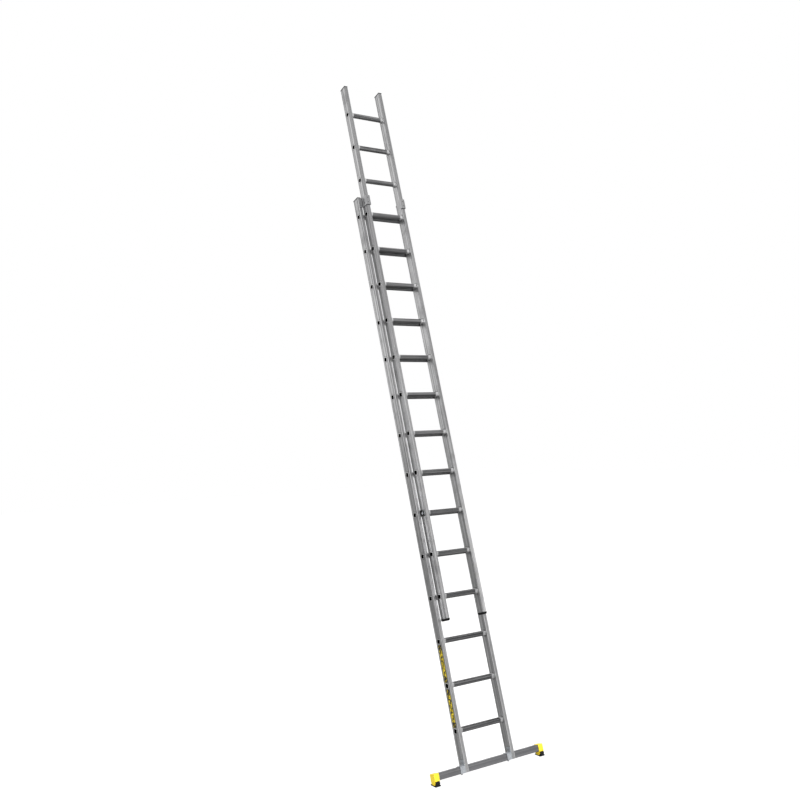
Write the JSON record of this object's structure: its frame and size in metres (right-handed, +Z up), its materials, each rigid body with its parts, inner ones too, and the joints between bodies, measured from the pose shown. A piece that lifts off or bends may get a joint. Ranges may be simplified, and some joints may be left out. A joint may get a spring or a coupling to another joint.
{
  "type": "extension ladder",
  "caption": "Two-section push-up extension ladder in box-section aluminium, leaning at its working angle, with pivoting rung hooks and a stabiliser bar on rubber feet.",
  "frame": {"origin": "on the floor, midway between the two feet, under the centre line of the base stiles", "axes": "+Z up, X across the ladder, +Y towards the wall that it leans on at 75 degrees"},
  "size_m": [0.885, 1.3058, 4.8411],
  "materials": {
    "stile_aluminium": "mill finish, drawn lines along the stile",
    "rung_aluminium": "mill finish",
    "bar_aluminium": "dull anodised grey",
    "cap_plastic": "moulded black",
    "hook_plastic": "moulded black",
    "glide_nylon": "moulded nylon",
    "guide_metal": "pressed and plated",
    "plated_steel": "zinc plated",
    "fastener_steel": "zinc plated",
    "yellow_plastic": "moulded satin",
    "sole_rubber": "moulded",
    "label_film": "printed film"
  },
  "bodies": {
    "base": {"base_left_stile": "stile_aluminium", "base_right_stile": "stile_aluminium", "base_rung_01": "rung_aluminium", "base_rung_02": "rung_aluminium", "base_rung_03": "rung_aluminium", "base_rung_04": "rung_aluminium", "base_rung_05": "rung_aluminium", "base_rung_06": "rung_aluminium", "base_rung_07": "rung_aluminium", "base_rung_08": "rung_aluminium", "base_rung_09": "rung_aluminium", "base_rung_10": "rung_aluminium", "base_rung_11": "rung_aluminium", "base_rung_12": "rung_aluminium", "base_rung_13": "rung_aluminium", "base_rung_14": "rung_aluminium", "base_left_top_cap": "cap_plastic", "base_right_top_cap": "cap_plastic", "left_guide_bracket": "guide_metal", "right_guide_bracket": "guide_metal", "left_glide_pad": "glide_nylon", "right_glide_pad": "glide_nylon", "left_bar_bracket": "plated_steel", "right_bar_bracket": "plated_steel", "left_bar_end": "yellow_plastic", "right_bar_end": "yellow_plastic", "left_sole": "sole_rubber", "right_sole": "sole_rubber", "guide_rivets": "fastener_steel", "stabiliser_bar": "bar_aluminium", "bracket_bolts": "fastener_steel", "bracket_nuts": "fastener_steel", "upper_label": "label_film", "lower_label": "label_film"},
    "fly": {"fly_left_stile": "stile_aluminium", "fly_right_stile": "stile_aluminium", "fly_rung_01": "rung_aluminium", "fly_rung_02": "rung_aluminium", "fly_rung_03": "rung_aluminium", "fly_rung_04": "rung_aluminium", "fly_rung_05": "rung_aluminium", "fly_rung_06": "rung_aluminium", "fly_rung_07": "rung_aluminium", "fly_rung_08": "rung_aluminium", "fly_rung_09": "rung_aluminium", "fly_rung_10": "rung_aluminium", "fly_rung_11": "rung_aluminium", "fly_rung_12": "rung_aluminium", "fly_rung_13": "rung_aluminium", "fly_rung_14": "rung_aluminium", "fly_left_top_cap": "cap_plastic", "fly_right_top_cap": "cap_plastic", "fly_left_bottom_cap": "cap_plastic", "fly_right_bottom_cap": "cap_plastic", "left_hook_pin": "fastener_steel", "right_hook_pin": "fastener_steel"},
    "left_hook": {"left_hook": "hook_plastic"},
    "right_hook": {"right_hook": "hook_plastic"}
  },
  "joints": [
    {"name": "fly_slide", "type": "slide", "parent": "base", "child": "fly", "axis": [0, 0.2588, 0.9659], "range_m": [-0.84, 1.96]},
    {"name": "left_hook_pivot", "type": "hinge", "parent": "fly", "child": "left_hook", "pos_m": [-0.169, 0.38078, 1.63102], "axis": [1, 0, 0], "range_deg": [0, 75]},
    {"name": "right_hook_pivot", "type": "hinge", "parent": "fly", "child": "right_hook", "pos_m": [0.169, 0.38078, 1.63102], "axis": [1, 0, 0], "range_deg": [0, 75]}
  ]
}
